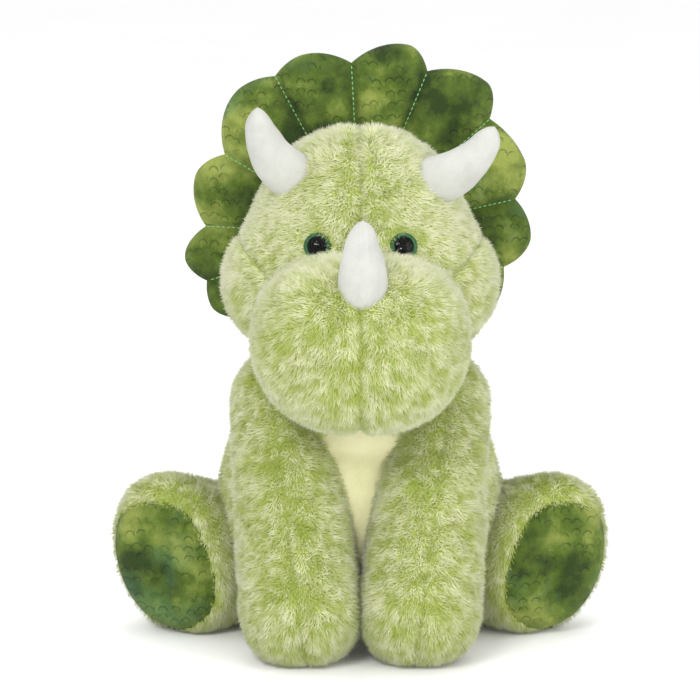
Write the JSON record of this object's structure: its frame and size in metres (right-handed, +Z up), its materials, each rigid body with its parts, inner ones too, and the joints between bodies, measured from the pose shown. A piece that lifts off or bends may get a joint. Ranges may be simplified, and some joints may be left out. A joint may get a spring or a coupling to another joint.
{
  "type": "stuffed dinosaur",
  "caption": "Sitting plush horned dinosaur with a scalloped collar frill, soft curved horns, domed safety eyes, a velour belly and velour soles; head, arms, legs and tail flex at their seams.",
  "frame": {"origin": "middle of the flat seat, on the surface the toy sits on", "axes": "+Z up, the face looks along -Y, and +X is the toy's own left"},
  "size_m": [0.2864, 0.2698, 0.3452],
  "materials": {
    "plush": "deep tipped pile, pale tips over yellow-green roots",
    "belly_velour": "short even nap",
    "green_velour": "short nap with embossed scales and mottling",
    "horn_velour": "short even nap",
    "stuffing": "loose polyester fibre",
    "bag_cloth": "plain woven",
    "eye_clear": "clear and polished",
    "eye_black": "polished",
    "eye_glitter": "metallic glitter",
    "washer_plastic": "moulded"
  },
  "bodies": {
    "torso": {"back_left_panel": "plush", "back_right_panel": "plush", "belly_panel": "belly_velour", "seat_panel": "plush", "body_stuffing": "stuffing", "seat_pellet_bag": "bag_cloth"},
    "neck": {"neck_stuffing": "stuffing"},
    "head": {"head_left_panel": "plush", "head_right_panel": "plush", "head_back_panel": "plush", "muzzle_left_panel": "plush", "muzzle_right_panel": "plush", "head_stuffing": "stuffing", "frill_front_panel": "green_velour", "frill_back_panel": "green_velour", "frill_wadding": "stuffing", "brow_horn_left_cover": "horn_velour", "brow_horn_left_stuffing": "stuffing", "brow_horn_right_cover": "horn_velour", "brow_horn_right_stuffing": "stuffing", "nose_horn_cover": "horn_velour", "nose_horn_stuffing": "stuffing", "eye_left_lens": "eye_clear", "eye_left_pupil": "eye_black", "eye_left_iris": "eye_glitter", "eye_left_stem": "eye_black", "eye_left_washer": "washer_plastic", "eye_right_lens": "eye_clear", "eye_right_pupil": "eye_black", "eye_right_iris": "eye_glitter", "eye_right_stem": "eye_black", "eye_right_washer": "washer_plastic"},
    "arm_left": {"arm_left_outer_panel": "plush", "arm_left_inner_panel": "plush", "arm_left_stuffing": "stuffing"},
    "arm_right": {"arm_right_outer_panel": "plush", "arm_right_inner_panel": "plush", "arm_right_stuffing": "stuffing"},
    "leg_left": {"leg_left_outer_panel": "plush", "leg_left_inner_panel": "plush", "leg_left_sole_pad": "green_velour", "leg_left_stuffing": "stuffing"},
    "leg_right": {"leg_right_outer_panel": "plush", "leg_right_inner_panel": "plush", "leg_right_sole_pad": "green_velour", "leg_right_stuffing": "stuffing"},
    "tail": {"tail_left_panel": "plush", "tail_right_panel": "plush", "tail_stuffing": "stuffing"}
  },
  "joints": [
    {"name": "neck_turn", "type": "hinge", "parent": "torso", "child": "neck", "pos_m": [0, 0.002, 0.138], "axis": [0, 0, 1], "range_deg": [-15, 15], "stiffness_Nm_per_rad": 0.4},
    {"name": "head_nod", "type": "hinge", "parent": "neck", "child": "head", "pos_m": [0, 0.002, 0.138], "axis": [-1, 0, 0], "range_deg": [-3, 18], "stiffness_Nm_per_rad": 1.5},
    {"name": "arm_left_raise", "type": "hinge", "parent": "torso", "child": "arm_left", "pos_m": [0.049, -0.01, 0.137], "axis": [-1, 0, 0], "range_deg": [0, 20], "stiffness_Nm_per_rad": 0.5},
    {"name": "arm_right_raise", "type": "hinge", "parent": "torso", "child": "arm_right", "pos_m": [-0.049, -0.01, 0.137], "axis": [-1, 0, 0], "range_deg": [0, 20], "stiffness_Nm_per_rad": 0.5},
    {"name": "leg_left_splay", "type": "hinge", "parent": "torso", "child": "leg_left", "pos_m": [0.064, 0.033, 0.039], "axis": [0, 0, 1], "range_deg": [0, 12], "stiffness_Nm_per_rad": 0.5},
    {"name": "leg_right_splay", "type": "hinge", "parent": "torso", "child": "leg_right", "pos_m": [-0.064, 0.033, 0.039], "axis": [0, 0, -1], "range_deg": [0, 12], "stiffness_Nm_per_rad": 0.5},
    {"name": "tail_wag", "type": "hinge", "parent": "torso", "child": "tail", "pos_m": [0, 0.064, 0.027], "axis": [0, 0, 1], "range_deg": [-18, 18], "stiffness_Nm_per_rad": 0.2}
  ]
}
